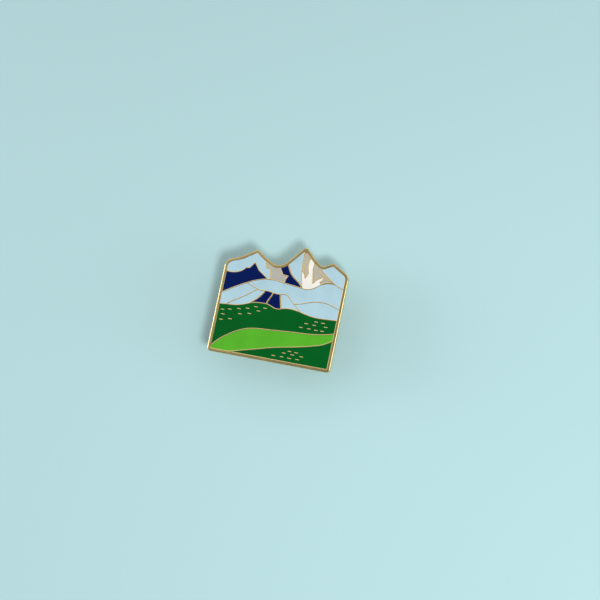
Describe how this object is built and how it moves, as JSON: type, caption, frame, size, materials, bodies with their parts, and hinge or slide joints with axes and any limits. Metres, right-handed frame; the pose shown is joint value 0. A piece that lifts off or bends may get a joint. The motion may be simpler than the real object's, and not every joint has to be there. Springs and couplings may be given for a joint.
{
  "type": "enamel pin",
  "caption": "Enamel lapel pin with a mountain landscape between raised gold lines, held on by two posts with butterfly clutches.",
  "frame": {"origin": "under the middle of the plate, on the surface that the clutches' wings rest on", "axes": "+Z out of the enamelled face, +Y up the picture, +X to the picture's right"},
  "size_m": [0.034, 0.032, 0.0114],
  "materials": {
    "gold_plating": "polished gold plating",
    "post_brass": "plated, satin",
    "solder": "dull solder",
    "clutch_brass": "stamped, lightly polished",
    "light_blue_enamel": "gloss, polished flush",
    "navy_enamel": "gloss, polished flush",
    "dark_green_enamel": "gloss, polished flush",
    "bright_green_enamel": "gloss, polished flush",
    "white_enamel": "gloss, polished flush",
    "warm_grey_enamel": "gloss, polished flush"
  },
  "bodies": {
    "pin": {"pin_plate": "gold_plating", "enamel_cliff_left": "navy_enamel", "enamel_cliff_right": "navy_enamel", "enamel_field": "bright_green_enamel", "enamel_glacier": "light_blue_enamel", "enamel_gully_snow": "white_enamel", "enamel_hill": "dark_green_enamel", "enamel_left_foothill": "light_blue_enamel", "enamel_left_rock": "warm_grey_enamel", "enamel_left_slope": "navy_enamel", "enamel_left_snow": "light_blue_enamel", "enamel_main_peak_snow": "light_blue_enamel", "enamel_middle_foothill": "light_blue_enamel", "enamel_near_hill": "dark_green_enamel", "enamel_rib_inner": "warm_grey_enamel", "enamel_rib_outer": "warm_grey_enamel", "enamel_right_buttress": "warm_grey_enamel", "enamel_right_foothill": "light_blue_enamel", "enamel_right_ledge": "warm_grey_enamel", "enamel_right_rib": "warm_grey_enamel", "enamel_right_rock": "warm_grey_enamel", "enamel_right_snow": "light_blue_enamel", "enamel_saddle": "navy_enamel", "enamel_small_foothill": "light_blue_enamel", "left_post": "post_brass", "left_solder": "solder", "right_post": "post_brass", "right_solder": "solder"},
    "left_clutch": {"left_clutch_plate": "clutch_brass"},
    "left_clutch_lower_wing": {"left_lower_wing": "clutch_brass"},
    "left_clutch_upper_wing": {"left_upper_wing": "clutch_brass"},
    "right_clutch": {"right_clutch_plate": "clutch_brass"},
    "right_clutch_lower_wing": {"right_lower_wing": "clutch_brass"},
    "right_clutch_upper_wing": {"right_upper_wing": "clutch_brass"}
  },
  "joints": [
    {"name": "left_clutch_slide", "type": "slide", "parent": "pin", "child": "left_clutch", "axis": [0, 0, -1], "range_m": [-0.0034, 0.014]},
    {"name": "left_lower_wing_squeeze", "type": "slide", "parent": "left_clutch", "child": "left_clutch_lower_wing", "axis": [0, 1, 0], "range_m": [0, 0.0008], "stiffness_N_per_m": 1500, "springref_m": -0.0003},
    {"name": "left_upper_wing_squeeze", "type": "slide", "parent": "left_clutch", "child": "left_clutch_upper_wing", "axis": [0, -1, 0], "range_m": [0, 0.0008], "stiffness_N_per_m": 1500, "springref_m": -0.0003},
    {"name": "right_clutch_slide", "type": "slide", "parent": "pin", "child": "right_clutch", "axis": [0, 0, -1], "range_m": [-0.0034, 0.014]},
    {"name": "right_lower_wing_squeeze", "type": "slide", "parent": "right_clutch", "child": "right_clutch_lower_wing", "axis": [0, 1, 0], "range_m": [0, 0.0008], "stiffness_N_per_m": 1500, "springref_m": -0.0003},
    {"name": "right_upper_wing_squeeze", "type": "slide", "parent": "right_clutch", "child": "right_clutch_upper_wing", "axis": [0, -1, 0], "range_m": [0, 0.0008], "stiffness_N_per_m": 1500, "springref_m": -0.0003}
  ]
}
